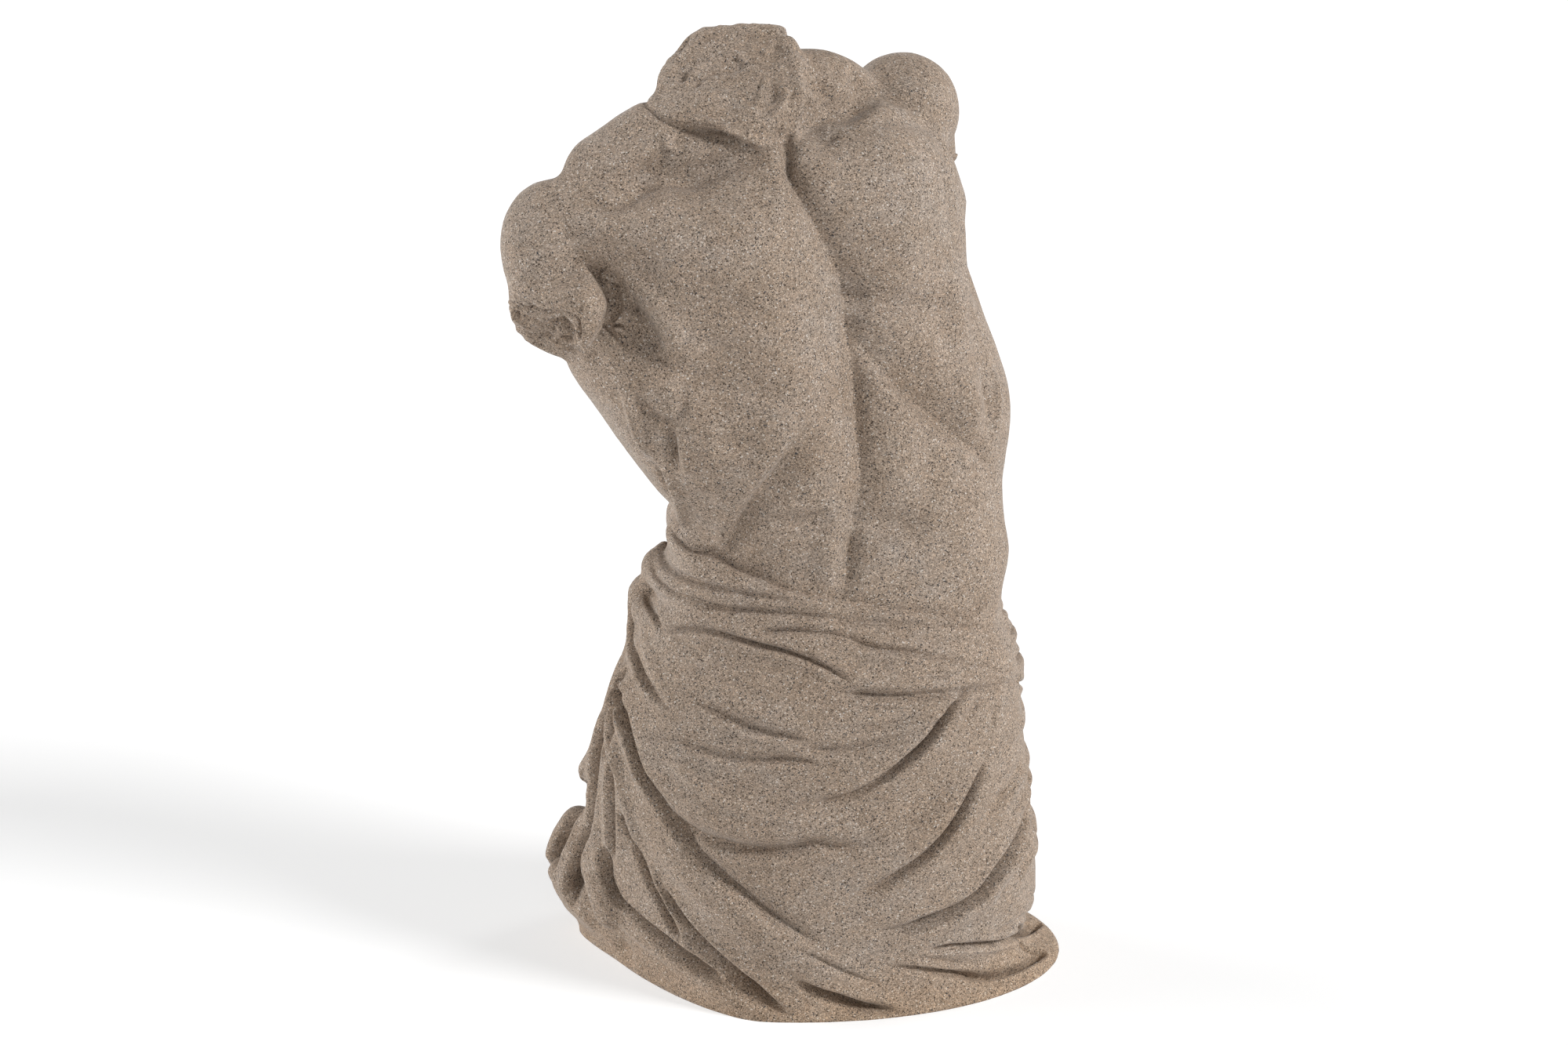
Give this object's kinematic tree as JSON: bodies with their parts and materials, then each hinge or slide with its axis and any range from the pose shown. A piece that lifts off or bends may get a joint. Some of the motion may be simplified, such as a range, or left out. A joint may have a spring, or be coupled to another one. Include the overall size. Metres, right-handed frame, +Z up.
{
  "type": "sculpture",
  "caption": "Sand-textured faux-stone torso of a man seen from the back, neck and arms broken off, drapery round the hips, standing on its flat underside",
  "frame": {"origin": "On the floor under the middle of the bounding box.", "axes": "+Z up, +Y the way the chest faces, -Y the back, +X the figure's right."},
  "size_m": [0.3517, 0.2263, 0.6098],
  "materials": {
    "cast_resin": "matt, sand-textured faux stone"
  },
  "bodies": {
    "root": {"torso": "cast_resin"}
  },
  "joints": []
}
